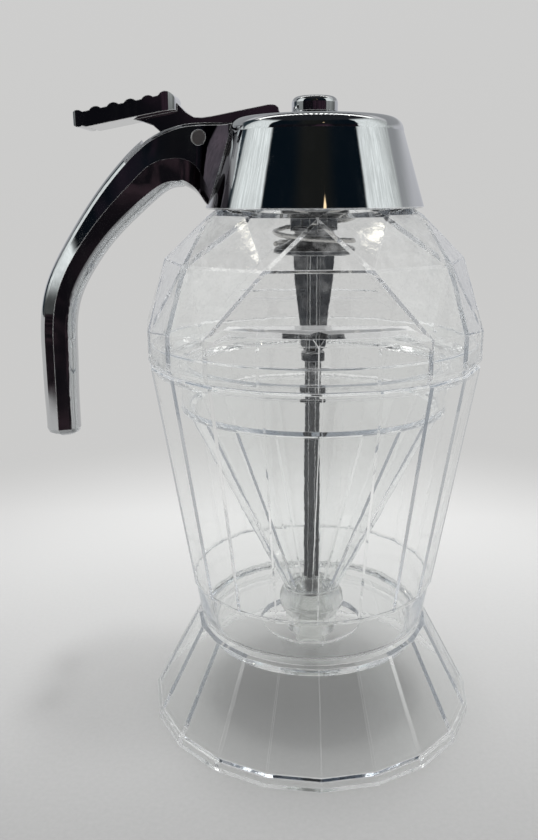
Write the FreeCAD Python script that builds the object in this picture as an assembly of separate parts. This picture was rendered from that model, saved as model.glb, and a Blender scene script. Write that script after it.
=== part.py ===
import FreeCAD, Part
import os
from math import sin, cos, radians, pi, atan2, sqrt
from FreeCAD import Vector as V

# Honey dispenser: a clear faceted jar with a funnel and a spring-loaded stopper,
# a chromed lid with a side handle and a thumb trigger, on a clear faceted stand.
# Millimetres. Z is up from the surface it stands on, X = 0, Y = 0 is the jar's axis,
# the handle lies in the plane Y = 0 towards -X.

# ---------------------------------------------------------------- sizes
SIDES = 20                    # facets round the jar, the funnel and the stand

# turn of the facets of each clear piece about Z (degrees from -Y towards +X)
TURN_DOME = 1.73
TURN_SHELL = 2.99
TURN_STAND = 3.86

# stand (corner radii of the 20-sided frustum)
STAND_R = 40.0
STAND_RIM_Z = 2.6
STAND_CONE_R, STAND_CONE_Z = 39.2, 3.0
STAND_TOP_R, STAND_TOP_Z = 28.75, 22.9
STAND_IN_BOT_R, STAND_IN_TOP_R = 37.9, 26.75

# lower shell of the jar
RIDGE_R, RIDGE_Z = 29.8, 34.5
SHELL_TOP_R, SHELL_TOP_Z = 38.3, 87.9
SHELL_WALL = 1.6
SHELL_BEVEL = 0.4
CONE_TOP_R, CONE_BOT_R = 29.2, 27.45
SPIGOT_R, SPIGOT_Z = 26.2, 19.0
FLOOR_TOP_Z = 20.6
FLOOR_HOLE_R = 12.5

# faceted dome
BAND_R, BAND_BOT_R = 38.57, 37.6
BAND_BOT_Z, BAND_CHAMFER_Z = 88.0, 89.4
CORNER_Z = 97.05              # where the window's sides meet the band, 36 degrees from front and back
SIDE_Z, FOLD_Z = 95.6, 96.7   # where the other facets meet the band's edges
LEDGE_Z, LEDGE_BEVEL = 100.0, 0.7
LEDGE_END_SLOPE = 0.546       # the ledge's ends run down to the corners
B_R, B_Z = 34.0, 110.7        # ten-sided ring half way up
A_R, A_Z = 24.56, 120.1       # ten-sided ring at the shoulder
SHOULDER_R, SHOULDER_Z = 22.0, 121.6
DOME_WALL = 2.0
NECK_R, NECK_BORE_R, NECK_TOP_Z = 20.2, 18.0, 128.6
DOME_CEILING_Z = 119.3

# funnel
RIM_R, RIM_IN_R = 36.0, 34.4
RIM_TOP_Z, RIM_BOT_Z = 92.5, 86.5
WEB_TOP_Z = 88.0
SKIRT_R, SKIRT_IN_R, SKIRT_BOT_Z = 30.3, 28.8, 77.0
FUNNEL_R, FUNNEL_TIP_R, FUNNEL_TIP_Z = 29.3, 6.9, 30.5
FUNNEL_WALL = 1.65
SLEEVE_R, SLEEVE_BORE_R, SLEEVE_Z = 5.4, 4.2, 25.0

# nozzle
COLLAR_R, COLLAR_MID_Z = 7.9, 26.4
COLLAR_TOP_Z, COLLAR_BOT_Z = 29.8, 23.3
NOZZLE_BORE_R = 3.0
TUBE_TOP_R, TUBE_BOT_R, TUBE_BOT_Z = 6.4, 5.9, 17.0
TIP_R, TIP_END_R, TIP_Z = 4.2, 3.9, 12.0

# lid
LID_BOT_R, LID_BOT_Z = 24.2, 121.6
LID_EDGE_R, LID_EDGE_Z = 19.35, 137.5
LID_TOP_R, LID_TOP_Z = 16.6, 140.5
LID_BORE_R, LID_BORE_Z = 20.4, 129.2
LID_ROOM_R, LID_CEILING_Z = 17.6, 138.3
WELL_R, WELL_OUT_R, WELL_FLOOR_Z, WELL_UNDER_Z = 8.3, 10.0, 137.0, 135.2
STEM_BORE_R = 5.45
SLOT_HALF = 2.5
SLOT_FLOOR_Z, SLOT_DEEP_Z = 137.4, 131.6

# trigger pivot
PIVOT_X, PIVOT_Z, PIN_R, PIN_HALF = -25.05, 136.66, 1.6, 3.95

# plunger
KNOB_R, KNOB_FLAT_R, KNOB_Z0, KNOB_Z1 = 5.0, 3.6, 141.6, 145.0
STEM_R = 2.8
FIN_HALF, FIN_T, FIN_Z0, FIN_Z1 = 5.0, 1.55, 117.0, 136.0
BOSS_R, BOSS_Z0 = 4.6, 113.0
FLANGE_R, FLANGE_Z0, FLANGE_EDGE_Z, FLANGE_TOP_Z = 8.9, 111.2, 112.2, 114.3
LOWER_FIN = [(4.7, 111.4), (4.35, 105.7), (3.46, 98.9), (3.0, 94.2), (2.8, 90.7), (1.9, 89.7)]
RING_R, RING_Z0, RING_Z1 = 2.6, 87.3, 89.3
CORE_R = 1.6
ROD_HALF, ROD_RIB, ROD_BOT_Z = 1.78, 1.6, 33.0
ROD_PIN_R, ROD_PIN_Z = 1.1, 27.0

# stopper
CAP_R, CAP_Z0, CAP_Z1 = 2.6, 30.5, 33.0
LIP_R, LIP_Z0 = 3.9, 28.3
PLUG_TOP_R, PLUG_BOT_R, PLUG_Z = 3.4, 2.8, 24.0
SEAT_GAP = 0.15

# spring: wire, mean radius, and how its height falls turn by turn (left-handed)
WIRE_R, SPRING_R = 0.55, 8.6
SPRING_TURNS = [(-3.2, 134.60), (-2.5, 134.05), (-2.0, 132.0), (-1.0, 125.5),
                (0.0, 119.0), (0.5, 115.8), (1.0, 113.85), (1.5, 113.10)]

# ---------------------------------------------------------------- helpers
def at(r, a, z):
    """Point at radius r, a degrees round from -Y towards +X, height z."""
    return V(r * sin(radians(a)), -r * cos(radians(a)), z)


def ring(r, z, turn, n=SIDES):
    return [at(r, turn + 360.0 * k / n, z) for k in range(n)]


def facet(points):
    return Part.Face(Part.makePolygon(points + [points[0]]))


def solid_of(faces):
    s = Part.Solid(Part.Shell(faces))
    if s.Volume < 0:
        s.reverse()
    return s


def faceted(levels, turn):
    """Closed solid with flat sides through rings of SIDES corners: levels = [(r, z)...]."""
    rings = [ring(r, z, turn) for r, z in levels]
    faces = [facet(rings[0]), facet(rings[-1])]
    for lo, hi in zip(rings, rings[1:]):
        for k in range(SIDES):
            m = (k + 1) % SIDES
            faces.append(facet([lo[k], lo[m], hi[m], hi[k]]))
    return solid_of(faces)


def turned(profile):
    """Solid of revolution about Z of a closed (r, z) outline."""
    w = Part.makePolygon([V(r, 0, z) for r, z in profile + [profile[0]]])
    return Part.Face(w).revolve(V(0, 0, 0), V(0, 0, 1), 360)


def cylinder(r, z0, z1, x=0.0, y=0.0):
    return Part.makeCylinder(r, z1 - z0, V(x, y, z0))


def slab(outline, half, flat=False):
    """Outline in XZ extruded from -half to +half in Y."""
    f = facet([V(x, -half, z) for x, z in outline])
    return f.extrude(V(0, 2 * half, 0))


def block(x0, x1, y0, y1, z0, z1):
    return Part.makeBox(x1 - x0, y1 - y0, z1 - z0, V(x0, y0, z0))


def prism(wire, z0, z1):
    """Flat outline at Z = 0 extruded from z0 to z1."""
    p = Part.Face(wire).extrude(V(0, 0, z1 - z0))
    p.translate(V(0, 0, z0))
    return p


def outward(points):
    """Outward plane (point, unit normal) of three points of the dome."""
    p, q, r = points[:3]
    n = (q - p).cross(r - p)
    n.normalize()
    mid = (p + q + r) * (1.0 / 3.0)
    if n.dot(mid - V(0, 0, 90)) < 0:
        n = n * -1
    return p, n


def trim(solid, plane, inset=0.0):
    """Cuts away everything outside a plane that is moved inward by inset."""
    p, n = plane
    size = 200.0
    b = Part.makeBox(size, size, size, V(-size / 2, -size / 2, 0))
    b.Placement = FreeCAD.Placement(p - n * inset, FreeCAD.Rotation(V(0, 0, 1), n))
    return solid.cut(b)


def save(shape, name):
    if shape.ShapeType != "Solid":
        solids = shape.Solids
        assert len(solids) == 1, (name, len(solids))
        shape = solids[0]
    assert shape.isValid(), name
    shape.exportStep("parts/%s.step" % name)
    b = shape.BoundBox
    print("%-12s %9.1f mm3  x %.1f..%.1f  y %.1f..%.1f  z %.1f..%.1f" % (
        name, shape.Volume, b.XMin, b.XMax, b.YMin, b.YMax, b.ZMin, b.ZMax))
    return shape


# ---------------------------------------------------------------- stand
def make_stand():
    outer = faceted([(STAND_R, 0.0), (STAND_R, STAND_RIM_Z), (STAND_CONE_R, STAND_CONE_Z),
                     (STAND_TOP_R, STAND_TOP_Z)], TURN_STAND)
    slope = (STAND_IN_TOP_R - STAND_IN_BOT_R + 0.9) / (STAND_TOP_Z - STAND_CONE_Z)
    r3 = STAND_IN_BOT_R - 0.9
    inner = faceted([(STAND_IN_BOT_R, -1.0), (STAND_IN_BOT_R, 1.4), (r3, STAND_CONE_Z),
                     (STAND_IN_TOP_R + slope, STAND_TOP_Z + 1.0)], TURN_STAND)
    return outer.cut(inner)


# ---------------------------------------------------------------- lower shell
def make_shell():
    up = (SHELL_TOP_R - RIDGE_R) / (SHELL_TOP_Z - RIDGE_Z)
    hull = faceted([(RIDGE_R - 0.15, RIDGE_Z - 0.3), (RIDGE_R, RIDGE_Z),
                    (SHELL_TOP_R - up * SHELL_BEVEL, SHELL_TOP_Z - SHELL_BEVEL),
                    (SHELL_TOP_R - SHELL_BEVEL, SHELL_TOP_Z)], TURN_SHELL)
    foot = turned([(0, SPIGOT_Z), (SPIGOT_R - 1.6, SPIGOT_Z), (SPIGOT_R - 0.5, SPIGOT_Z + 0.45),
                   (SPIGOT_R, SPIGOT_Z + 1.6), (SPIGOT_R, STAND_TOP_Z), (CONE_BOT_R - 0.3, STAND_TOP_Z),
                   (CONE_BOT_R, STAND_TOP_Z + 0.3), (CONE_TOP_R, RIDGE_Z - 0.3), (CONE_TOP_R, RIDGE_Z),
                   (0, RIDGE_Z)])
    body = hull.fuse(foot).removeSplitter()
    wall = SHELL_WALL / cos(pi / SIDES)
    room = faceted([(RIDGE_R - wall, RIDGE_Z), (SHELL_TOP_R - wall, SHELL_TOP_Z),
                    (SHELL_TOP_R - wall + up * 2, SHELL_TOP_Z + 2)], TURN_SHELL)
    well = turned([(0, FLOOR_TOP_Z), (SPIGOT_R - 2.6, FLOOR_TOP_Z), (SPIGOT_R - 1.6, FLOOR_TOP_Z + 1.0),
                   (SPIGOT_R - 1.6, STAND_TOP_Z + 0.8), (CONE_BOT_R - 1.7, STAND_TOP_Z + 2.0),
                   (CONE_TOP_R - 1.7, RIDGE_Z - 0.3), (CONE_TOP_R - 1.7, RIDGE_Z + 0.2), (0, RIDGE_Z + 0.2)])
    hole = turned([(0, SPIGOT_Z - 1), (FLOOR_HOLE_R, SPIGOT_Z - 1), (FLOOR_HOLE_R, FLOOR_TOP_Z + 1), (0, FLOOR_TOP_Z + 1)])
    return body.cut(room).cut(well).cut(hole).removeSplitter()


# ---------------------------------------------------------------- dome
def dome_planes():
    """Outward facet planes of the dome, and the two flat windows at front and back."""
    t = TURN_DOME
    A = lambda d: at(A_R, t + d, A_Z)
    B = lambda d: at(B_R, t + d, B_Z)

    def E(d):
        """Point on the band's edge d degrees round, where the facets start."""
        q = abs((d + 90) % 180 - 90)          # 0 at front and back, 90 at the sides
        z = FOLD_Z if round(q) % 36 == 18 else (CORNER_Z if q < 40 else SIDE_Z)
        return at(BAND_R, t + d, z)

    facets, windows = [], []
    for k in range(10):
        a = 36.0 * k
        facets.append(outward([A(a), B(a - 18), B(a + 18)]))
        facets.append(outward([A(a), A(a + 36), B(a + 18)]))
        facets.append(outward([B(a - 18), B(a + 18), E(a)]))
        facets.append(outward([B(a + 18), E(a), E(a + 18)]))
        facets.append(outward([B(a + 18), E(a + 18), E(a + 36)]))
    for a in (0.0, 180.0):
        windows.append(outward([B(a - 18), B(a + 18), E(a + 36)]))
    return facets, windows


def dome_body(inset):
    """The faceted dome and its band, every face moved inward by inset."""
    facets, windows = dome_planes()
    r = BAND_R - inset / cos(pi / SIDES)
    foot = [(BAND_BOT_R, BAND_BOT_Z), (BAND_R, BAND_CHAMFER_Z)] if inset == 0 else [(r, BAND_BOT_Z - 1.0)]
    whole = faceted(foot + [(r, 126.0)], TURN_DOME)
    for p in facets:
        whole = trim(whole, p, inset)
    dome = whole
    for p in windows:
        dome = trim(dome, p, inset)
    # ledge below each window: flat in the middle, running down to the corners at its ends
    belt = whole.common(block(-60, 60, -60, 60, 80, LEDGE_Z - inset))
    corner = BAND_R * sin(radians(36.0))
    run = V(LEDGE_END_SLOPE, 0, 1)
    run.normalize()
    for side in (-1, 1):
        n = V(side * run.x, 0, run.z)
        turned_n = FreeCAD.Rotation(V(0, 0, 1), TURN_DOME).multVec(n)
        foot_p = FreeCAD.Rotation(V(0, 0, 1), TURN_DOME).multVec(V(side * corner, 0, CORNER_Z))
        belt = trim(belt, (foot_p, turned_n), inset)
    if inset == 0:
        for k in range(SIDES):
            # small bevel along the ledge's outer edge
            out = at(1.0, TURN_DOME + 18.0 * (k + 0.5), 0.0)
            n = (out + V(0, 0, 1))
            n.normalize()
            mid = at(37.05, TURN_DOME + 18.0 * (k + 0.5), LEDGE_Z - LEDGE_BEVEL / 2)
            belt = trim(belt, (mid, n))
    return dome.fuse(belt)


def make_dome():
    outer = dome_body(0.0)
    fall = (SHOULDER_Z - A_Z) / (A_R - SHOULDER_R)
    cap = turned([(0, 80.0), (50.0, 80.0), (50.0, A_Z - fall * (50.0 - A_R)), (SHOULDER_R, SHOULDER_Z), (0, SHOULDER_Z)])
    outer = outer.common(cap)
    neck = turned([(0, 115.0), (NECK_R, 115.0), (NECK_R, NECK_TOP_Z - 0.5), (NECK_R - 0.5, NECK_TOP_Z), (0, NECK_TOP_Z)])
    outer = outer.fuse(neck).removeSplitter()
    room = dome_body(DOME_WALL).common(block(-60, 60, -60, 60, 80, DOME_CEILING_Z))
    bore = cylinder(NECK_BORE_R, 110.0, NECK_TOP_Z + 1.0)
    return outer.cut(room).cut(bore).removeSplitter()


# ---------------------------------------------------------------- funnel
def make_funnel():
    head = turned([(SKIRT_IN_R, WEB_TOP_Z), (RIM_IN_R, WEB_TOP_Z), (RIM_IN_R, RIM_TOP_Z - 0.3), (RIM_IN_R + 0.3, RIM_TOP_Z),
                   (RIM_R - 0.3, RIM_TOP_Z), (RIM_R, RIM_TOP_Z - 0.3), (RIM_R, RIM_BOT_Z),
                   (RIM_R - 0.6, RIM_BOT_Z - 0.6), (SKIRT_R + 0.4, RIM_BOT_Z - 0.6), (SKIRT_R, RIM_BOT_Z - 1.0), (SKIRT_R, SKIRT_BOT_Z),
                   (SKIRT_IN_R - 1.2, SKIRT_BOT_Z), (SKIRT_IN_R, SKIRT_BOT_Z + 1.2)])
    k = (FUNNEL_R - FUNNEL_TIP_R) / (SKIRT_BOT_Z - FUNNEL_TIP_Z)
    cone = faceted([(FUNNEL_TIP_R, FUNNEL_TIP_Z), (FUNNEL_R, SKIRT_BOT_Z)], TURN_SHELL)
    tip = turned([(0, COLLAR_TOP_Z), (FUNNEL_TIP_R - 0.6, COLLAR_TOP_Z), (FUNNEL_TIP_R - 0.05, FUNNEL_TIP_Z),
                  (FUNNEL_TIP_R - 0.05, FUNNEL_TIP_Z + 0.2), (0, FUNNEL_TIP_Z + 0.2)])
    sleeve = cylinder(SLEEVE_R, SLEEVE_Z, FUNNEL_TIP_Z + 0.5)
    body = cone.fuse(tip).fuse(sleeve)
    room = faceted([(FUNNEL_TIP_R - FUNNEL_WALL, FUNNEL_TIP_Z), (FUNNEL_R - FUNNEL_WALL, SKIRT_BOT_Z),
                    (FUNNEL_R - FUNNEL_WALL + k * 1.0, SKIRT_BOT_Z + 1.0)], TURN_SHELL)
    bore = cylinder(SLEEVE_BORE_R, SLEEVE_Z - 1, FUNNEL_TIP_Z + 0.6)
    body = body.cut(room).cut(bore)
    return head.fuse(body).removeSplitter()


# ---------------------------------------------------------------- nozzle
def make_nozzle():
    b = NOZZLE_BORE_R
    w = [(b + 0.45, SLEEVE_Z - 0.1), (SLEEVE_R, SLEEVE_Z - 0.1), (SLEEVE_R, COLLAR_TOP_Z),
         (COLLAR_R - 1.3, COLLAR_TOP_Z)]
    prof = [V(r, 0, z) for r, z in w]
    edges = [Part.makeLine(p, q) for p, q in zip(prof, prof[1:])]
    top = prof[-1]
    low = V(COLLAR_R - 1.3, 0, COLLAR_BOT_Z)
    edges.append(Part.Arc(top, V(COLLAR_R, 0, COLLAR_MID_Z), low).toShape())
    rest = [low, V(TUBE_TOP_R, 0, COLLAR_BOT_Z - 0.5), V(TUBE_BOT_R, 0, TUBE_BOT_Z + 0.5), V(TUBE_BOT_R - 0.5, 0, TUBE_BOT_Z),
            V(TIP_R, 0, TUBE_BOT_Z), V(TIP_END_R, 0, TIP_Z + 0.4), V(TIP_END_R - 0.4, 0, TIP_Z), V(b, 0, TIP_Z),
            V(b, 0, SLEEVE_Z - 1.6), prof[0]]
    edges += [Part.makeLine(p, q) for p, q in zip(rest, rest[1:])]
    return Part.Face(Part.Wire(edges)).revolve(V(0, 0, 0), V(0, 0, 1), 360)


# ---------------------------------------------------------------- lid with its handle
# Cross-sections of the handle from its root in the lid to its free end:
# outer point x, z; direction across it (degrees from +X); depths of the crease, of the
# inner edge and of the inner face; half widths at the outer edge, crease and inner edge.
HANDLE = [
    (-15.5, 139.9, -90.0, 17.2, 17.8, 18.3, 8.4, 14.6, 15.2),
    (-18.5, 139.9, -90.0, 17.0, 17.8, 18.3, 6.2, 11.9, 12.4),
    (-21.3, 139.9, -90.0, 16.2, 17.6, 18.3, 4.7, 8.4, 8.9),
    (-23.6, 139.95, -90.0, 12.6, 16.9, 18.0, 3.9, 5.7, 6.1),
    (-26.0, 139.9, -90.0, 8.9, 13.9, 15.0, 3.5, 4.55, 3.9),
    (-29.0, 139.5, -88.0, 7.2, 11.8, 13.0, 3.4, 4.2, 3.3),
    (-33.4, 138.1, -70.0, 6.1, 11.1, 12.4, 3.3, 4.1, 3.2),
    (-37.9, 135.5, -55.0, 4.9, 9.8, 11.1, 3.1, 4.0, 3.1),
    (-42.5, 131.4, -47.0, 4.5, 8.6, 9.95, 3.0, 4.0, 3.1),
    (-47.3, 126.1, -42.0, 4.0, 7.5, 8.8, 3.0, 4.0, 3.1),
    (-52.2, 119.7, -37.0, 3.3, 6.4, 7.6, 3.0, 4.0, 3.1),
    (-57.2, 112.2, -30.0, 2.9, 5.8, 7.0, 3.0, 4.0, 3.1),
    (-61.25, 104.4, -19.0, 3.0, 5.75, 6.85, 3.0, 4.0, 3.1),
    (-63.1, 96.5, -8.0, 3.1, 5.7, 6.85, 3.0, 4.0, 3.1),
    (-63.5, 88.0, -1.5, 3.1, 5.6, 6.8, 3.0, 4.0, 3.1),
    (-63.6, 78.0, 0.0, 3.0, 5.5, 6.5, 3.0, 4.0, 3.1),
    (-63.6, 70.5, 0.0, 2.9, 5.4, 6.4, 3.0, 4.0, 3.1),
]
# rounded free end: the last section again, drawn in by these amounts at these heights
HANDLE_END = [(0.0, 70.5), (0.4, 69.5), (1.3, 69.0)]
HANDLE_CROWN, HANDLE_BELLY = 0.9, 0.85   # how far its outer and inner faces are rounded out


def handle_section(row):
    x, z, turn, crease, edge, inner, w0, w1, w2 = row
    d = V(cos(radians(turn)), 0, sin(radians(turn)))
    o = V(x, 0, z)
    p = lambda u, v: o + d * u + V(0, v, 0)
    crown = HANDLE_CROWN * min(1.0, max(0.0, (-20.0 - x) / 16.0))
    inner += HANDLE_BELLY * min(1.0, max(0.0, (-34.0 - x) / 14.0))
    return Part.Wire([
        Part.Arc(p(0.8, -w0), p(-crown, 0), p(0.8, w0)).toShape(),
        Part.makeLine(p(0.8, w0), p(crease, w1)),
        Part.makeLine(p(crease, w1), p(edge, w2)),
        Part.Arc(p(edge, w2), p(inner, 0), p(edge, -w2)).toShape(),
        Part.makeLine(p(edge, -w2), p(crease, -w1)),
        Part.makeLine(p(crease, -w1), p(0.8, -w0)),
    ])


def end_section(inset, z):
    x, _, turn, crease, edge, inner, w0, w1, w2 = HANDLE[-1]
    k = 1.0 - inset / 3.6
    return handle_section((x + inset, z, turn, 0.8 + (crease - 0.8) * k, 0.8 + (edge - 0.8) * k,
                           0.8 + (inner - 0.8) * k - inset * 0.35, w0 - inset * 0.8, w1 - inset, w2 - inset * 0.8))


def make_lid():
    outline = [V(0, 0, LID_BOT_Z), V(LID_BOT_R - 0.3, 0, LID_BOT_Z), V(LID_BOT_R, 0, LID_BOT_Z + 0.3), V(LID_EDGE_R, 0, LID_EDGE_Z)]
    edges = [Part.makeLine(p, q) for p, q in zip(outline, outline[1:])]
    rim = V(LID_EDGE_R, 0, LID_EDGE_Z)
    top = V(LID_TOP_R, 0, LID_TOP_Z)
    edges.append(Part.Arc(rim, V(LID_EDGE_R - 0.75, 0, LID_EDGE_Z + 1.95), top).toShape())
    crown = V(0, 0, LID_TOP_Z)
    edges += [Part.makeLine(top, crown), Part.makeLine(crown, outline[0])]
    cap = Part.Face(Part.Wire(edges)).revolve(V(0, 0, 0), V(0, 0, 1), 360)

    grip = Part.makeLoft([handle_section(r) for r in HANDLE], True, False)
    if grip.Volume < 0:
        grip.reverse()
    end = Part.makeLoft([end_section(i, z) for i, z in HANDLE_END], True, True)
    if end.Volume < 0:
        end.reverse()
    grip = grip.fuse(end).common(block(-80, 0, -30, 30, 50, LID_TOP_Z))
    body = cap.fuse(grip)
    body = body.cut(block(-40, 40, -40, 40, LID_BOT_Z - 60, LID_BOT_Z).common(cylinder(26.0, LID_BOT_Z - 60, LID_BOT_Z)))

    # room under the lid round the jar's neck, and the trough of the lever's slot
    room = turned([(0, LID_BOT_Z - 5), (LID_BORE_R, LID_BOT_Z - 5), (LID_BORE_R, LID_BORE_Z), (LID_ROOM_R, LID_BORE_Z),
                   (LID_ROOM_R, LID_CEILING_Z - 1.5), (LID_ROOM_R - 1.5, LID_CEILING_Z), (WELL_OUT_R, LID_CEILING_Z),
                   (WELL_OUT_R, WELL_UNDER_Z), (0, WELL_UNDER_Z)])
    trough = block(-LID_ROOM_R - 1, -WELL_R, -SLOT_HALF - 1.5, SLOT_HALF + 1.5, WELL_UNDER_Z + 0.6, LID_CEILING_Z + 1)
    body = body.cut(room.cut(trough))

    # well with the stem's bore
    body = body.cut(cylinder(WELL_R, WELL_FLOOR_Z, LID_TOP_Z + 5))
    body = body.cut(cylinder(STEM_BORE_R, WELL_UNDER_Z - 5, LID_TOP_Z + 5))

    # slot for the lever, through the well's wall, the lid's wall and the handle's root
    slot = slab([(-WELL_R + 1.5, SLOT_FLOOR_Z), (-19.0, SLOT_FLOOR_Z), (-20.4, SLOT_FLOOR_Z - 1.4), (-20.4, SLOT_DEEP_Z),
                 (-29.6, SLOT_DEEP_Z), (-35.2, 134.4), (-38.2, 135.5), (-38.2, 150.0), (-WELL_R + 1.5, 150.0)], SLOT_HALF)
    body = body.cut(slot)
    # holes for the pin
    body = body.cut(Part.makeCylinder(PIN_R, 20.0, V(PIVOT_X, -10.0, PIVOT_Z), V(0, 1, 0)))
    return body


def make_pin():
    pin = Part.makeCylinder(PIN_R, 2 * PIN_HALF, V(PIVOT_X, -PIN_HALF, PIVOT_Z), V(0, 1, 0))
    return pin.makeChamfer(0.2, [e for e in pin.Edges if isinstance(e.Curve, Part.Circle)])


# ---------------------------------------------------------------- trigger
PAD_CRESTS = [(-50.65, 142.36), (-46.58, 143.09), (-42.71, 143.82), (-39.03, 144.49), (-35.25, 145.12), (-31.57, 145.95)]
PAD_HALF, ARM_HALF, HUB_R = 6.0, 2.15, 4.0
PAD_UNDER = [(-29.8, 142.3), (-37.8, 140.9), (-48.9, 138.9), (-51.0, 139.4)]
FORK_OUT, FORK_IN, FORK_X0, FORK_X1, FORK_Z0, FORK_Z1 = 5.2, 3.2, -6.0, 1.5, 139.6, 141.3


def make_trigger():
    # thumb pad: a slab whose top is a row of rounded ribs
    base = [(-51.6, 141.05)] + [(x, z - 0.55) for x, z in PAD_CRESTS] + [(-30.0, 144.75), (-29.75, 143.95)] + PAD_UNDER
    pad = slab(base, PAD_HALF)
    for x, z in PAD_CRESTS:
        pad = pad.fuse(Part.makeCylinder(1.75, 2 * PAD_HALF, V(x, -PAD_HALF, z - 1.75), V(0, 1, 0)))
    # plan outline: round end at the left, drawn in towards the neck at the right
    plan = Part.Wire([
        Part.Arc(V(-51.9, PAD_HALF - 1.2, 0), V(-52.3, 0, 0), V(-51.9, -PAD_HALF + 1.2, 0)).toShape(),
        Part.Arc(V(-51.9, -PAD_HALF + 1.2, 0), V(-51.5, -PAD_HALF + 0.3, 0), V(-50.6, -PAD_HALF, 0)).toShape(),
        Part.makeLine(V(-50.6, -PAD_HALF, 0), V(-32.6, -PAD_HALF, 0)),
        Part.Arc(V(-32.6, -PAD_HALF, 0), V(-30.7, -PAD_HALF + 0.9, 0), V(-29.65, -PAD_HALF + 3.4, 0)).toShape(),
        Part.makeLine(V(-29.65, -PAD_HALF + 3.4, 0), V(-29.65, PAD_HALF - 3.4, 0)),
        Part.Arc(V(-29.65, PAD_HALF - 3.4, 0), V(-30.7, PAD_HALF - 0.9, 0), V(-32.6, PAD_HALF, 0)).toShape(),
        Part.makeLine(V(-32.6, PAD_HALF, 0), V(-50.6, PAD_HALF, 0)),
        Part.Arc(V(-50.6, PAD_HALF, 0), V(-51.5, PAD_HALF - 0.3, 0), V(-51.9, PAD_HALF - 1.2, 0)).toShape(),
    ])
    pad = pad.common(prism(plan, 120.0, 160.0))
    # arm: neck, hub on the pin and the front arm, all in the slot
    arm = slab([(-41.5, 141.3), (-40.0, 140.75), (-37.3, 140.1), (-35.1, 139.3), (-33.2, 137.6), (-28.6, 134.9), (-25.05, 132.9),
                (-21.8, 135.0), (-20.9, 137.6), (-19.5, 138.2), (-12.0, 139.1), (-8.5, FORK_Z0), (-5.0, FORK_Z0), (-5.0, FORK_Z1),
                (-7.3, FORK_Z1 + 0.1), (-7.7, 142.0), (-7.8, 142.7), (-8.4, 143.2), (-9.1, 143.35), (-10.2, 143.3), (-16.3, 142.2), (-22.3, 141.1),
                (-24.4, 140.85), (-26.2, 140.95), (-27.9, 142.0), (-29.4, 143.5), (-30.9, 145.2), (-33.0, 145.2), (-41.5, 142.5)], ARM_HALF)
    hub = Part.makeCylinder(HUB_R, 2 * ARM_HALF, V(PIVOT_X, -ARM_HALF, PIVOT_Z), V(0, 1, 0))
    fork = block(FORK_X0, FORK_X1, -FORK_OUT, FORK_OUT, FORK_Z0, FORK_Z1)
    gap = block(-3.9 + 0.7, FORK_X1 + 1, -FORK_IN, FORK_IN, FORK_Z0 - 1, FORK_Z1 + 1).fuse(
        Part.makeCylinder(FORK_IN, FORK_Z1 - FORK_Z0 + 2, V(-0.7, 0, FORK_Z0 - 1)))
    fork = fork.common(cylinder(WELL_R - 0.3, FORK_Z0 - 1, FORK_Z1 + 1)).cut(gap)
    body = pad.fuse(arm).fuse(hub).fuse(fork).removeSplitter()
    body = body.cut(Part.makeCylinder(PIN_R + 0.05, 20.0, V(PIVOT_X, -10.0, PIVOT_Z), V(0, 1, 0)))
    return body


# ---------------------------------------------------------------- plunger
def make_plunger():
    knob_edges = [V(0, 0, KNOB_Z0), V(KNOB_R - 0.3, 0, KNOB_Z0), V(KNOB_R, 0, KNOB_Z0 + 0.3), V(KNOB_R, 0, KNOB_Z1 - 1.3)]
    e = [Part.makeLine(p, q) for p, q in zip(knob_edges, knob_edges[1:])]
    top = V(KNOB_FLAT_R, 0, KNOB_Z1)
    e.append(Part.Arc(knob_edges[-1], V(KNOB_R - 0.42, 0, KNOB_Z1 - 0.38), top).toShape())
    e += [Part.makeLine(top, V(0, 0, KNOB_Z1)), Part.makeLine(V(0, 0, KNOB_Z1), knob_edges[0])]
    knob = Part.Face(Part.Wire(e)).revolve(V(0, 0, 0), V(0, 0, 1), 360)
    stem = cylinder(STEM_R, FIN_Z0, KNOB_Z0 + 0.5)
    t = FIN_T / 2
    fins = block(-FIN_HALF, FIN_HALF, -t, t, FIN_Z0 - 1, FIN_Z1).fuse(block(-t, t, -FIN_HALF, FIN_HALF, FIN_Z0 - 1, FIN_Z1))
    core = cylinder(CORE_R, ROD_BOT_Z + 50, FIN_Z1)
    boss = turned([(0, BOSS_Z0), (BOSS_R, BOSS_Z0), (BOSS_R, 115.2), (BOSS_R - 0.35, 115.4), (BOSS_R - 0.35, 115.8), (BOSS_R, 116.0),
                   (BOSS_R, FIN_Z0 - 0.4), (BOSS_R - 0.4, FIN_Z0), (0, FIN_Z0)])
    flange = turned([(0, FLANGE_Z0), (FLANGE_R - 0.2, FLANGE_Z0), (FLANGE_R, FLANGE_Z0 + 0.2), (FLANGE_R, FLANGE_EDGE_Z),
                     (BOSS_R, FLANGE_TOP_Z), (0, FLANGE_TOP_Z)])
    half = [(r, z) for r, z in LOWER_FIN] + [(-r, z) for r, z in reversed(LOWER_FIN)]
    lower = slab(half, t)
    cross = lower.copy()
    cross.rotate(V(0, 0, 0), V(0, 0, 1), 90)
    disc = cylinder(RING_R, RING_Z0, RING_Z1)
    h, w = ROD_HALF, ROD_RIB / 2
    rod = block(-h, h, -w, w, ROD_BOT_Z, RING_Z0 + 0.5).fuse(block(-w, w, -h, h, ROD_BOT_Z, RING_Z0 + 0.5))
    pin = cylinder(ROD_PIN_R, ROD_PIN_Z, ROD_BOT_Z + 1)
    s = knob
    for piece in (stem, fins, core, boss, flange, lower, cross, disc, rod, pin):
        s = s.fuse(piece)
    return s.removeSplitter()


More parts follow.
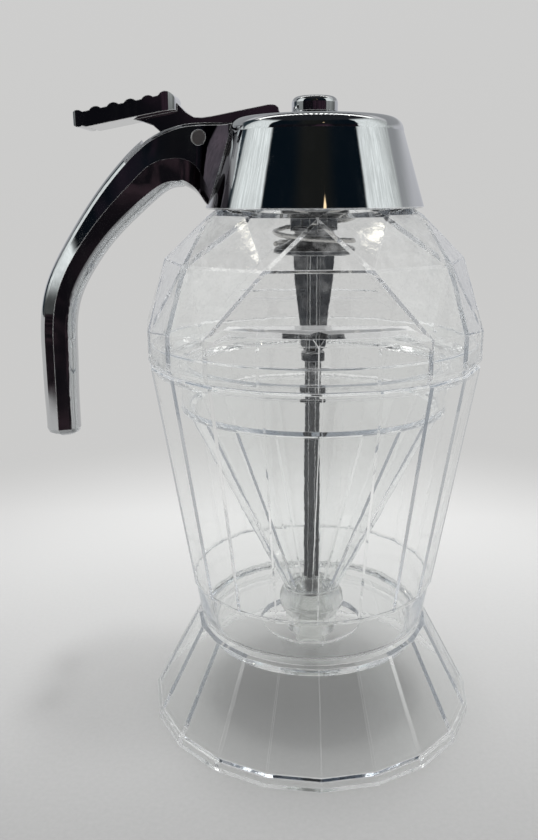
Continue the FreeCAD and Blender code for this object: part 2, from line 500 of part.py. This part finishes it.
# ---------------------------------------------------------------- stopper
def make_stopper():
    b = ROD_PIN_R
    prof = [(b, ROD_PIN_Z), (b, CAP_Z1), (CAP_R - 0.3, CAP_Z1), (CAP_R, CAP_Z1 - 0.3), (CAP_R, CAP_Z0),
            (LIP_R - 0.25, CAP_Z0), (LIP_R, CAP_Z0 - 0.25), (LIP_R, CAP_Z0 - 0.75), (LIP_R - 0.5, CAP_Z0 - 0.95), (LIP_R - 0.5, CAP_Z0 - 1.15),
            (LIP_R, CAP_Z0 - 1.35), (LIP_R, LIP_Z0 + 0.25), (LIP_R - 0.25, LIP_Z0), (PLUG_TOP_R, LIP_Z0),
            (NOZZLE_BORE_R + 0.45 - SEAT_GAP, SLEEVE_Z), (PLUG_BOT_R, SLEEVE_Z - 1.6 + 0.1), (PLUG_BOT_R, PLUG_Z - 1.0), (PLUG_BOT_R - 0.5, PLUG_Z - 1.5),
            (0, PLUG_Z - 1.5), (0, ROD_PIN_Z)]
    return turned(prof)


# ---------------------------------------------------------------- spring
def spring_height(t):
    pts = SPRING_TURNS
    n = len(pts)
    # slopes of a smooth curve that never turns back
    d = [(pts[i + 1][1] - pts[i][1]) / (pts[i + 1][0] - pts[i][0]) for i in range(n - 1)]
    m = [d[0]] + [0.0 if d[i] * d[i + 1] <= 0 else 2 * d[i] * d[i + 1] / (d[i] + d[i + 1]) for i in range(n - 2)] + [d[-1]]
    i = max(j for j in range(n - 1) if pts[j][0] <= t + 1e-9)
    h = pts[i + 1][0] - pts[i][0]
    s = (t - pts[i][0]) / h
    return ((2 * s**3 - 3 * s**2 + 1) * pts[i][1] + (s**3 - 2 * s**2 + s) * h * m[i]
            + (-2 * s**3 + 3 * s**2) * pts[i + 1][1] + (s**3 - s**2) * h * m[i + 1])


def make_spring():
    t0, t1 = SPRING_TURNS[0][0], SPRING_TURNS[-1][0]
    n = 96
    pts = []
    for k in range(n + 1):
        t = t0 + (t1 - t0) * k / n
        a = 2 * pi * t
        pts.append(V(SPRING_R * cos(a), SPRING_R * sin(a), spring_height(t)))
    line = Part.BSplineCurve()
    line.interpolate(pts)
    path = Part.Wire([line.toShape()])
    d = line.tangent(line.FirstParameter)[0]
    prof = Part.Wire([Part.makeCircle(WIRE_R, pts[0], d)])
    return Part.Wire(path).makePipeShell([prof], True, True)


os.makedirs("parts", exist_ok=True)
save(make_stand(), "stand")
save(make_shell(), "lower_shell")
save(make_dome(), "dome")
save(make_funnel(), "funnel")
save(make_nozzle(), "nozzle")
save(make_lid(), "lid")
save(make_pin(), "pin")
save(make_trigger(), "trigger")
save(make_plunger(), "plunger")
save(make_stopper(), "stopper")
save(make_spring(), "spring")
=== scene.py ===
import bpy
from math import sin, cos, pi, radians
from mathutils import Matrix, Vector


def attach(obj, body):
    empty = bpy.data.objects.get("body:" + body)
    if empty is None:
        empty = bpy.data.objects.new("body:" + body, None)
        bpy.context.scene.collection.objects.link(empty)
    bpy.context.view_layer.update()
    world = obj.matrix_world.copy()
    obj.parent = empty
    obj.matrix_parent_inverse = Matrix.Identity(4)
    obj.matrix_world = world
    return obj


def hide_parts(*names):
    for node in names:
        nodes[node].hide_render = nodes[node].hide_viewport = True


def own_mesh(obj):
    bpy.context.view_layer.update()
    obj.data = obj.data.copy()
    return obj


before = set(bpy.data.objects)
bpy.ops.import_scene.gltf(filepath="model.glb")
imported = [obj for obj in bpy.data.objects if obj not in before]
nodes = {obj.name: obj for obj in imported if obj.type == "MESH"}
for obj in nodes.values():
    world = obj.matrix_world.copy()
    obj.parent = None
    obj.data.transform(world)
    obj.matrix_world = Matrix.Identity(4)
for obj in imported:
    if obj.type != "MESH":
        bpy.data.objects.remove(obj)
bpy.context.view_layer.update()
scene = bpy.context.scene
MM = 0.001

# ---------------------------------------------------------------- camera
pitch, roll, yaw = 0.266935, -0.0069537, -0.0548037
fwd = Vector((sin(yaw) * cos(pitch), cos(yaw) * cos(pitch), -sin(pitch)))
right = Vector((cos(yaw), -sin(yaw), 0.0))
up = right.cross(fwd)
cx = right * cos(roll) + up * sin(roll)
cy = up * cos(roll) - right * sin(roll)
cam_data = bpy.data.cameras.new("camera")
cam = bpy.data.objects.new("camera", cam_data)
scene.collection.objects.link(cam)
cam.matrix_world = Matrix(((cx.x, cy.x, -fwd.x, 0.0), (cx.y, cy.y, -fwd.y, -0.18984),
                           (cx.z, cy.z, -fwd.z, 0.12442), (0, 0, 0, 1)))
cam_data.sensor_fit = "VERTICAL"
cam_data.sensor_height = 36.0
cam_data.lens = 35.164
cam_data.clip_start, cam_data.clip_end = 0.01, 20.0
scene.camera = cam
scene.view_settings.view_transform = "Standard"
scene.cycles.max_bounces = 26
scene.cycles.transmission_bounces = 26
scene.cycles.glossy_bounces = 12
scene.cycles.transparent_max_bounces = 40
scene.cycles.sample_clamp_indirect = 6.0


# ---------------------------------------------------------------- node helpers
def put(tree, sock, v):
    if isinstance(v, bpy.types.NodeSocket):
        tree.links.new(v, sock)
    elif isinstance(v, (tuple, list)) and len(v) == 3 and sock.type == "RGBA":
        sock.default_value = (*v, 1.0)
    else:
        sock.default_value = v


def node(tree, kind, ins=None, **props):
    n = tree.nodes.new(kind)
    for k, v in props.items():
        setattr(n, k, v)
    for k, v in (ins or {}).items():
        put(tree, n.inputs[k], v)
    return n


def calc(tree, op, *args, clamp=False):
    n = node(tree, "ShaderNodeMath", operation=op, use_clamp=clamp)
    for i, v in enumerate(args):
        put(tree, n.inputs[i], v)
    return n.outputs[0]


def step(tree, v, lo, hi, a=0.0, b=1.0):
    """Smooth rise of v from a at lo to b at hi."""
    n = node(tree, "ShaderNodeMapRange", interpolation_type="SMOOTHSTEP")
    for k, x in zip(range(5), (v, lo, hi, a, b)):
        put(tree, n.inputs[k], x)
    return n.outputs[0]


def blend(tree, fac, a, b, kind="MIX"):
    n = node(tree, "ShaderNodeMix", data_type="RGBA", blend_type=kind)
    put(tree, n.inputs[0], fac)
    put(tree, n.inputs[6], a)
    put(tree, n.inputs[7], b)
    return n.outputs[2]


def noise(tree, vec, scale, detail=2.0, rough=0.5, distortion=0.0):
    n = node(tree, "ShaderNodeTexNoise")
    put(tree, n.inputs["Vector"], vec)
    n.inputs["Scale"].default_value = scale
    n.inputs["Detail"].default_value = detail
    n.inputs["Roughness"].default_value = rough
    n.inputs["Distortion"].default_value = distortion
    return n.outputs["Fac"]


def stretch(tree, vec, sx, sy, sz):
    m = node(tree, "ShaderNodeMapping")
    put(tree, m.inputs["Vector"], vec)
    m.inputs["Scale"].default_value = (sx, sy, sz)
    return m.outputs[0]


def material(name):
    m = bpy.data.materials.new(name)
    m.use_nodes = True
    m.node_tree.nodes.clear()
    out = m.node_tree.nodes.new("ShaderNodeOutputMaterial")
    return m, m.node_tree, out


# ---------------------------------------------------------------- studio
WALL = (0.60, 0.598, 0.592)
world = bpy.data.worlds.new("studio")
scene.world = world
world.use_nodes = True
w = world.node_tree
w.nodes.clear()
direction = node(w, "ShaderNodeTexCoord").outputs["Generated"]
xyz = node(w, "ShaderNodeSeparateXYZ", {"Vector": direction})
dx, dy, dz = xyz.outputs
turn = calc(w, "ARCTAN2", dx, calc(w, "MULTIPLY", dy, -1.0))       # 0 towards the front, + to the right
side = calc(w, "ABSOLUTE", turn)
rise = calc(w, "ARCSINE", dz)
over = calc(w, "ARCTAN2", dz, calc(w, "MULTIPLY", dy, -1.0))        # 0 at the front horizon, up and over to 180 degrees at the back
across = calc(w, "DIVIDE", dx, calc(w, "SQRT", calc(w, "ADD", calc(w, "MULTIPLY", dy, dy), calc(w, "ADD", calc(w, "MULTIPLY", dz, dz), 0.0001))))
streaks = noise(w, stretch(w, direction, 60, 60, 9), 1.0, 4.0, 0.7)
clouds = noise(w, direction, 3.1, 3.0, 0.6)
# the dark room behind the camera: purplish low down, blue-black higher up, a little greyer in the middle
low = blend(w, step(w, clouds, 0.46, 0.70), (0.005, 0.005, 0.007), (0.046, 0.025, 0.038))
high = blend(w, step(w, side, radians(10), radians(30)), (0.013, 0.014, 0.013), (0.0035, 0.0075, 0.012))
dark = blend(w, step(w, rise, radians(14), radians(26)), low, high)
# soft panels at both sides, bright at their front edge and dimmer low down and towards the back
fade = calc(w, "MULTIPLY", step(w, side, radians(84), radians(112), 1.0, 0.55), step(w, rise, radians(2), radians(14), 0.08, 1.0))
panel_level = calc(w, "MULTIPLY", fade, calc(w, "MULTIPLY_ADD", step(w, streaks, 0.35, 0.7), 0.55, 0.78))
panel = blend(w, 1.0, (1.0, 1.05, 1.03), node(w, "ShaderNodeCombineColor", {0: panel_level, 1: panel_level, 2: panel_level}).outputs[0], "MULTIPLY")
room = blend(w, step(w, calc(w, "ADD", side, calc(w, "MULTIPLY", calc(w, "SUBTRACT", clouds, 0.5), 0.12)), radians(58), radians(62)), dark, panel)
back = blend(w, step(w, rise, radians(-10), radians(35)), (0.47, 0.48, 0.52), (0.74, 0.74, 0.75))
room = blend(w, step(w, side, radians(114), radians(124)), room, back)
# at the left the panel ends sooner, in a strip of dark
gap = calc(w, "MULTIPLY", step(w, turn, radians(-100), radians(-104)), step(w, turn, radians(-128), radians(-122)))
room = blend(w, gap, room, (0.030, 0.045, 0.055))
# ceiling: dark in front of a row of small lamps that runs across, pale behind it
room = blend(w, step(w, rise, radians(44), radians(56)), room, (0.020, 0.021, 0.024))
behind = step(w, over, radians(126), radians(134))
room = blend(w, calc(w, "MULTIPLY", behind, step(w, rise, radians(10), radians(20))), room, (0.36, 0.37, 0.38))
dots = step(w, calc(w, "SINE", calc(w, "MULTIPLY", across, 150.0)), -0.3, 0.5)
strip = calc(w, "MULTIPLY", step(w, over, radians(104), radians(107)), step(w, over, radians(117), radians(114)))
strip = calc(w, "MULTIPLY", strip, step(w, calc(w, "ABSOLUTE", across), 0.9, 0.6))
strip = calc(w, "MULTIPLY", strip, calc(w, "MULTIPLY_ADD", dots, 0.85, 0.15))
room = blend(w, strip, room, (3.4, 3.4, 3.3))
# one small warm lamp
spot = Vector((sin(radians(12)) * cos(radians(33)), -cos(radians(12)) * cos(radians(33)), sin(radians(33))))
near_spot = node(w, "ShaderNodeVectorMath", {0: direction, 1: tuple(spot)}, operation="DOT_PRODUCT").outputs["Value"]
ragged = calc(w, "MULTIPLY_ADD", noise(w, direction, 60.0, 2.0), 0.0004, near_spot)
room = blend(w, step(w, ragged, cos(radians(1.6)) + 0.0002, cos(radians(1.0)) + 0.0002), room, (1.8, 1.35, 0.8))
# and three small bright ones overhead, which the dome's upper facets mirror
for lamp_turn, lamp_rise, lamp_half in ((-108.2, 49.0, 0.50), (-105.9, 49.3, 0.35), (119.1, 65.7, 0.50)):
    way = Vector((sin(radians(lamp_turn)) * cos(radians(lamp_rise)), -cos(radians(lamp_turn)) * cos(radians(lamp_rise)), sin(radians(lamp_rise))))
    near_lamp = node(w, "ShaderNodeVectorMath", {0: direction, 1: tuple(way)}, operation="DOT_PRODUCT").outputs["Value"]
    near_lamp = calc(w, "MULTIPLY_ADD", noise(w, direction, 90.0, 2.0), 0.00004, near_lamp)
    room = blend(w, step(w, near_lamp, cos(radians(lamp_half * 1.4)) + 0.00002, cos(radians(lamp_half * 0.7)) + 0.00002), room, (9.0, 8.6, 7.4))
path = node(w, "ShaderNodeLightPath")
mirrored = calc(w, "GREATER_THAN", path.outputs["Glossy Depth"], 0.5)
plain = blend(w, step(w, rise, radians(-6), radians(30)), WALL, (0.63, 0.63, 0.627))
inside = calc(w, "GREATER_THAN", path.outputs["Transmission Depth"], 0.5)
softer = blend(w, 1.0, blend(w, 0.80, room, plain), blend(w, 1.0, room, (0.85, 0.85, 0.85), "MULTIPLY"), "LIGHTEN")
seen = blend(w, mirrored, plain, blend(w, inside, room, softer))
bg = node(w, "ShaderNodeBackground", {"Color": seen, "Strength": 1.0})
w.links.new(bg.outputs[0], node(w, "ShaderNodeOutputWorld").inputs["Surface"])

# floor: pale paper with painted shade, darker towards the front, running into the wall's tone
floor_mesh = bpy.data.meshes.new("floor")
floor_mesh.from_pydata([(-3, -3, 0), (3, -3, 0), (3, 3, 0), (-3, 3, 0)], [], [(0, 1, 2, 3)])
floor = bpy.data.objects.new("floor", floor_mesh)
floor.location = (0, 0, -0.00005)
scene.collection.objects.link(floor)
m, t, out = material("floor_paper")
pos = node(t, "ShaderNodeTexCoord").outputs["Object"]
fx, fy, fz = node(t, "ShaderNodeSeparateXYZ", {"Vector": pos}).outputs
reach = calc(t, "SQRT", calc(t, "ADD", calc(t, "MULTIPLY", fx, fx), calc(t, "MULTIPLY", fy, fy)))
grain = noise(t, pos, 900.0, 3.0, 0.6)
# painted shade: the paper's colour darkens towards the front, standing in for the light falling off
shade_ramp = calc(t, "DIVIDE", calc(t, "ADD", fy, 0.07), 0.19, clamp=True)
shade = blend(t, shade_ramp, (0.34, 0.34, 0.34), (0.70, 0.70, 0.697))
paper_col = blend(t, calc(t, "MULTIPLY", grain, 0.12), shade, (0.90, 0.90, 0.895))
paper = node(t, "ShaderNodeBsdfPrincipled", {"Base Color": paper_col, "Roughness": 0.55, "Specular IOR Level": 0.25})
far = node(t, "ShaderNodeEmission", {"Color": WALL, "Strength": 1.0})
near_far = node(t, "ShaderNodeMixShader", {0: step(t, reach, 0.10, 0.24), 1: paper.outputs[0], 2: far.outputs[0]})
# in the chrome's mirror image the paper ends in front of the object, where the dark room begins
lp = node(t, "ShaderNodeLightPath")
front = step(t, fy, -0.10, -0.16)
gone = calc(t, "MULTIPLY", calc(t, "GREATER_THAN", lp.outputs["Glossy Depth"], 0.5), front)
gone = calc(t, "MULTIPLY", gone, calc(t, "MULTIPLY_ADD", calc(t, "GREATER_THAN", lp.outputs["Transmission Depth"], 0.5), -1.0, 1.0))
patches = blend(t, step(t, noise(t, pos, 9.0, 3.0), 0.42, 0.68), (0.007, 0.006, 0.008), (0.040, 0.025, 0.031))
room_floor = node(t, "ShaderNodeEmission", {"Color": patches, "Strength": 1.0})
t.links.new(node(t, "ShaderNodeMixShader", {0: gone, 1: near_far.outputs[0], 2: room_floor.outputs[0]}).outputs[0], out.inputs["Surface"])
floor_mesh.materials.append(m)


def lamp(name, place, aim, size, deep, power, glossy=False):
    d = bpy.data.lights.new(name, "AREA")
    d.shape, d.size, d.size_y, d.energy = "ELLIPSE", size, deep, power
    o = bpy.data.objects.new(name, d)
    o.location = place
    o.rotation_mode = "QUATERNION"
    o.rotation_quaternion = (Vector(place) - Vector(aim)).to_track_quat("Z", "Y")
    o.visible_glossy = glossy
    o.visible_transmission = glossy
    scene.collection.objects.link(o)
    return o


lamp("overhead", (0.0, 0.005, 0.75), (0, 0.005, 0.0), 0.09, 0.26, 3.7)

# ---------------------------------------------------------------- materials
def plain_through(t, shader, tint):
    """Lets shadow and diffuse rays straight through a clear piece, a little dimmed."""
    lp = node(t, "ShaderNodeLightPath")
    clear = node(t, "ShaderNodeBsdfTransparent", {"Color": tint})
    a = node(t, "ShaderNodeMixShader", {0: lp.outputs["Is Diffuse Ray"], 1: shader, 2: clear.outputs[0]})
    b = node(t, "ShaderNodeMixShader", {0: lp.outputs["Is Shadow Ray"], 1: a.outputs[0], 2: clear.outputs[0]})
    # light that runs along inside a wall is let out after a few turns, so that it doesn't end as black
    trapped = calc(t, "GREATER_THAN", lp.outputs["Glossy Depth"], 3.5)
    leave = node(t, "ShaderNodeBsdfTransparent", {"Color": (0.90, 0.91, 0.922)})
    return node(t, "ShaderNodeMixShader", {0: trapped, 1: b.outputs[0], 2: leave.outputs[0]}).outputs[0]


def edge_mask(t, radius, lo, hi, level=1.0):
    """1 along the piece's own edges, 0 on its faces."""
    soft = node(t, "ShaderNodeBevel", {"Radius": radius}, samples=6)
    face = node(t, "ShaderNodeNewGeometry").outputs["Normal"]
    same = node(t, "ShaderNodeVectorMath", {0: soft.outputs[0], 1: face}, operation="DOT_PRODUCT").outputs["Value"]
    return step(t, calc(t, "SUBTRACT", 1.0, same), lo, hi, 0.0, level)


def make_clear(name, tint=(0.996, 1.0, 0.998), wave=0.07, cup=False, dome=False):
    m, t, out = material(name)
    pos = node(t, "ShaderNodeTexCoord").outputs["Object"]
    ripple = noise(t, pos, 85.0, 2.0, 0.5)
    fine = noise(t, pos, 420.0, 3.0, 0.6)
    height = calc(t, "ADD", calc(t, "MULTIPLY", ripple, 1.0), calc(t, "MULTIPLY", fine, 0.12))
    bump = node(t, "ShaderNodeBump", {"Strength": wave, "Distance": 0.001, "Height": height})
    rough = step(t, noise(t, stretch(t, pos, 60, 60, 240), 1.0, 3.0, 0.6), 0.35, 0.8, 0.0, 0.035)
    p = node(t, "ShaderNodeBsdfPrincipled", {"Base Color": tint, "Roughness": rough, "IOR": 1.49,
                                             "Transmission Weight": 1.0, "Normal": bump.outputs[0]})
    # painted highlight: along the moulded edges a pale, rough, partly clear finish is mixed in, standing in for the
    # light the edges catch
    highlight_breakup = noise(t, pos, 240.0, 3.0, 0.6)
    highlight_mask = calc(t, "MULTIPLY", edge_mask(t, 0.00028, 0.002, 0.014, 0.62), step(t, highlight_breakup, 0.25, 0.6, 0.55, 1.0))
    if dome:
        # painted light: a faint mottled sheen on the moulded facets, and a painted highlight on the narrow ledge under
        # the windows where it faces up
        mottled_sheen = step(t, noise(t, pos, 330.0, 3.0, 0.6), 0.48, 0.70, 0.0, 0.13)
        facing = node(t, "ShaderNodeSeparateXYZ", {"Vector": node(t, "ShaderNodeNewGeometry").outputs["Normal"]}).outputs[2]
        z = node(t, "ShaderNodeSeparateXYZ", {"Vector": pos}).outputs[2]
        ledge_highlight = calc(t, "MULTIPLY", step(t, facing, 0.55, 0.75), step(t, calc(t, "ABSOLUTE", calc(t, "SUBTRACT", z, 0.0995)), 0.0012, 0.0008, 0.0, 0.30))
        highlight_mask = calc(t, "MAXIMUM", highlight_mask, calc(t, "MAXIMUM", mottled_sheen, ledge_highlight))
    painted_highlight = node(t, "ShaderNodeBsdfPrincipled", {"Base Color": (0.97, 0.975, 0.98), "Roughness": 0.35, "IOR": 1.49,
                                               "Transmission Weight": 0.25})
    edged = node(t, "ShaderNodeMixShader", {0: highlight_mask, 1: p.outputs[0], 2: painted_highlight.outputs[0]})
    dimmed = (0.974, 0.976, 0.975)
    if cup:
        # the cup's floor throws a darker shadow than the walls
        z = node(t, "ShaderNodeSeparateXYZ", {"Vector": pos}).outputs[2]
        dimmed = blend(t, step(t, z, 0.0222, 0.0240), (0.66, 0.665, 0.67), dimmed)
    t.links.new(plain_through(t, edged.outputs[0], dimmed), out.inputs["Surface"])
    return m


def make_chrome(name, wave=0.12, dim=1.0, root=False):
    m, t, out = material(name)
    pos = node(t, "ShaderNodeTexCoord").outputs["Object"]
    peel = noise(t, pos, 260.0, 2.0, 0.5)
    sag = noise(t, pos, 45.0, 1.0, 0.5)
    height = calc(t, "ADD", calc(t, "MULTIPLY", peel, 0.05), calc(t, "MULTIPLY", sag, 0.45))
    bump = node(t, "ShaderNodeBump", {"Strength": wave, "Distance": 0.001, "Height": height})
    smear = noise(t, stretch(t, pos, 300, 300, 70), 1.0, 4.0, 0.65)
    rough = step(t, smear, 0.4, 0.85, 0.025, 0.12)
    tone = blend(t, smear, (0.66, 0.675, 0.69), (0.58, 0.585, 0.60))
    if dim < 1.0:
        # painted shade: the plunger's colour is darkened below its knob, where it stands in the jar
        z = node(t, "ShaderNodeSeparateXYZ", {"Vector": pos}).outputs[2]
        shaded_below = blend(t, smear, (0.050, 0.056, 0.066), (0.020, 0.022, 0.026))
        tone = blend(t, step(t, z, 0.137, 0.140), shaded_below, tone)
    if root:
        # painted shade: the chrome's colour is darkened in the hollows where the handle grows out of the lid
        x, y, z = node(t, "ShaderNodeSeparateXYZ", {"Vector": pos}).outputs
        nx, ny, nz = node(t, "ShaderNodeSeparateXYZ", {"Vector": node(t, "ShaderNodeNewGeometry").outputs["Normal"]}).outputs
        hollow_shade = calc(t, "MULTIPLY", step(t, x, -0.0168, -0.0178), step(t, x, -0.0290, -0.0255))
        hollow_shade = calc(t, "MULTIPLY", hollow_shade, calc(t, "MULTIPLY", step(t, calc(t, "ABSOLUTE", ny), 0.30, 0.45), step(t, nx, -0.15, -0.30)))
        tone = blend(t, hollow_shade, tone, blend(t, noise(t, pos, 160.0, 2.0), (0.016, 0.020, 0.024), (0.10, 0.075, 0.095)))
    p = node(t, "ShaderNodeBsdfPrincipled", {"Base Color": tone, "Metallic": 1.0, "Roughness": rough, "Normal": bump.outputs[0]})
    # painted highlight: thin bright lines along the edges, from a pale, rough finish mixed in
    painted_highlight = node(t, "ShaderNodeBsdfPrincipled", {"Base Color": (0.93, 0.94, 0.95), "Metallic": 0.35, "Roughness": 0.42})
    highlight_mask = calc(t, "MULTIPLY", edge_mask(t, 0.00024, 0.012, 0.05, 0.85), step(t, smear, 0.25, 0.55, 0.55, 1.0))
    t.links.new(node(t, "ShaderNodeMixShader", {0: highlight_mask, 1: p.outputs[0], 2: painted_highlight.outputs[0]}).outputs[0], out.inputs["Surface"])
    return m


def make_silicone(name):
    m, t, out = material(name)
    pos = node(t, "ShaderNodeTexCoord").outputs["Object"]
    cloud = noise(t, pos, 300.0, 3.0, 0.6)
    bump = node(t, "ShaderNodeBump", {"Strength": 0.15, "Distance": 0.0004, "Height": cloud})
    col = blend(t, cloud, (0.95, 0.96, 0.95), (0.99, 0.995, 0.985))
    p = node(t, "ShaderNodeBsdfPrincipled", {"Base Color": col, "Roughness": 0.13, "IOR": 1.41,
                                             "Transmission Weight": 0.90, "Normal": bump.outputs[0]})
    t.links.new(plain_through(t, p.outputs[0], (0.86, 0.87, 0.86)), out.inputs["Surface"])
    return m


def make_steel(name, rough=0.22, gain=1.0):
    m, t, out = material(name)
    pos = node(t, "ShaderNodeTexCoord").outputs["Object"]
    drawn = noise(t, stretch(t, pos, 500, 500, 2500), 1.0, 3.0, 0.6)
    bump = node(t, "ShaderNodeBump", {"Strength": 0.12, "Distance": 0.0002, "Height": drawn})
    tone = blend(t, drawn, tuple(c * gain for c in (0.46, 0.45, 0.43)), tuple(c * gain for c in (0.60, 0.59, 0.57)))
    p = node(t, "ShaderNodeBsdfPrincipled", {"Base Color": tone, "Metallic": 1.0, "Roughness": rough, "Normal": bump.outputs[0]})
    t.links.new(p.outputs[0], out.inputs["Surface"])
    return m


clear = make_clear("clear_acrylic")
clear_cup = make_clear("clear_acrylic_cup", cup=True)
clear_dome = make_clear("clear_acrylic_dome", dome=True)
chrome = make_chrome("chromed_plastic")
lid_chrome = make_chrome("chromed_lid", root=True)
rod_chrome = make_chrome("chromed_plunger", 0.10, 0.62)
silicone = make_silicone("milky_silicone")
steel = make_steel("drawn_steel")
pin_steel = make_steel("turned_steel", 0.42, 1.25)
for names, mat in ((("stand", "funnel"), clear), (("lower_shell",), clear_cup), (("dome",), clear_dome), (("lid",), lid_chrome), (("trigger",), chrome), (("plunger",), rod_chrome),
                   (("nozzle", "stopper"), silicone), (("pin",), pin_steel), (("spring",), steel)):
    for n in names:
        for s in nodes[n].material_slots:
            s.material = mat

# ---------------------------------------------------------------- spring: wound wire built as a mesh, its turns closer towards both ends
TURNS = [(-3.2, 134.60), (-2.5, 134.05), (-2.0, 132.0), (-1.0, 125.5), (0.0, 119.0), (0.5, 115.8), (1.0, 113.85), (1.5, 113.10)]
WIRE_R, SPRING_R = 0.55, 8.6


def spring_height(t):
    pts = TURNS
    n = len(pts)
    d = [(pts[i + 1][1] - pts[i][1]) / (pts[i + 1][0] - pts[i][0]) for i in range(n - 1)]
    mm = [d[0]] + [0.0 if d[i] * d[i + 1] <= 0 else 2 * d[i] * d[i + 1] / (d[i] + d[i + 1]) for i in range(n - 2)] + [d[-1]]
    i = max(j for j in range(n - 1) if pts[j][0] <= t + 1e-9)
    h = pts[i + 1][0] - pts[i][0]
    s = (t - pts[i][0]) / h
    return ((2 * s**3 - 3 * s**2 + 1) * pts[i][1] + (s**3 - 2 * s**2 + s) * h * mm[i]
            + (-2 * s**3 + 3 * s**2) * pts[i + 1][1] + (s**3 - s**2) * h * mm[i + 1])


def make_spring():
    t0, t1 = TURNS[0][0], TURNS[-1][0]
    steps, around = 300, 14
    line = []
    for k in range(steps + 1):
        t = t0 + (t1 - t0) * k / steps
        a = 2 * pi * t
        line.append(Vector((SPRING_R * cos(a), SPRING_R * sin(a), spring_height(t))))
    verts, faces = [], []
    for k, p in enumerate(line):
        q = line[min(k + 1, steps)] - line[max(k - 1, 0)]
        q.normalize()
        out_dir = Vector((p.x, p.y, 0)).normalized()
        lift = q.cross(out_dir).normalized()
        out_dir = lift.cross(q).normalized()
        r = WIRE_R * (0.8 if k in (0, steps) else 1.0)
        for j in range(around):
            b = 2 * pi * j / around
            verts.append((p + out_dir * (r * cos(b)) + lift * (r * sin(b))) * MM)
    for k in range(steps):
        for j in range(around):
            i = (j + 1) % around
            faces.append((k * around + j, k * around + i, (k + 1) * around + i, (k + 1) * around + j))
    faces.append(tuple(range(around)))
    faces.append(tuple(reversed(range(steps * around, (steps + 1) * around))))
    mesh = bpy.data.meshes.new("spring_wire")
    mesh.from_pydata([tuple(v) for v in verts], [], faces)
    mesh.validate()
    mesh.update()
    import bmesh
    bm = bmesh.new()
    bm.from_mesh(mesh)
    bmesh.ops.recalc_face_normals(bm, faces=bm.faces)
    bm.to_mesh(mesh)
    bm.free()
    mesh.polygons.foreach_set("use_smooth", [len(f.vertices) == 4 for f in mesh.polygons])
    o = bpy.data.objects.new("spring_wire", mesh)
    scene.collection.objects.link(o)
    mesh.materials.append(steel)
    return o


spring = make_spring()
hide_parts("spring")
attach(spring, "root")
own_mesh(spring)
